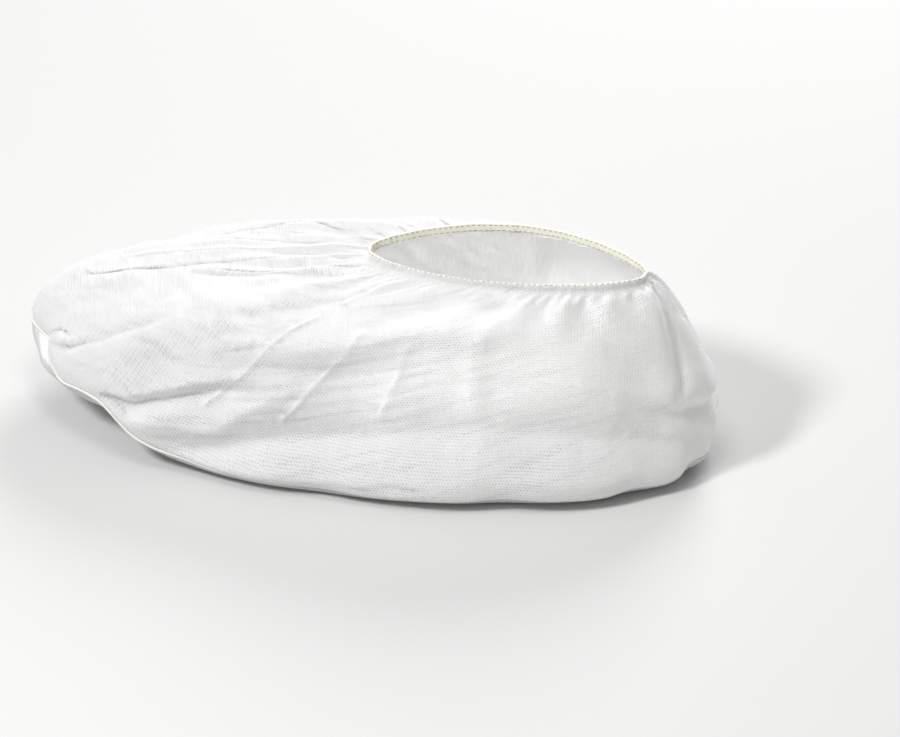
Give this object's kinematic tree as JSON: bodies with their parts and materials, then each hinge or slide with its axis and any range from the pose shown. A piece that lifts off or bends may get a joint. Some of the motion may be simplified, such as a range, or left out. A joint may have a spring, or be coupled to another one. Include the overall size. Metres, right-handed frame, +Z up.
{
  "type": "cleanroom shoe cover",
  "caption": "Boot-shaped overshoe with a hollow non-woven upper, a gathered elastic mouth and a vinyl-coated sole with a turned-up sewn edge.",
  "frame": {"origin": "middle of the sole's flat underside, on the surface that the cover stands on, below the middle of its outline", "axes": "+Z up; +X from the toe to the heel; +Y towards the far side, away from the side with the toe's pucker"},
  "size_m": [0.3989, 0.1717, 0.1249],
  "materials": {
    "upper_nonwoven": "matt white flash-spun non-woven with a fine embossed linen texture",
    "sole_vinyl": "slightly glossy white vinyl coating over ribbed cloth",
    "seam_thread": "cream-white sewn edge",
    "elastic_band": "cream woven elastic"
  },
  "bodies": {
    "root": {"upper": "upper_nonwoven", "sole": "sole_vinyl", "edge_seam": "seam_thread", "mouth_elastic": "elastic_band"}
  },
  "joints": []
}
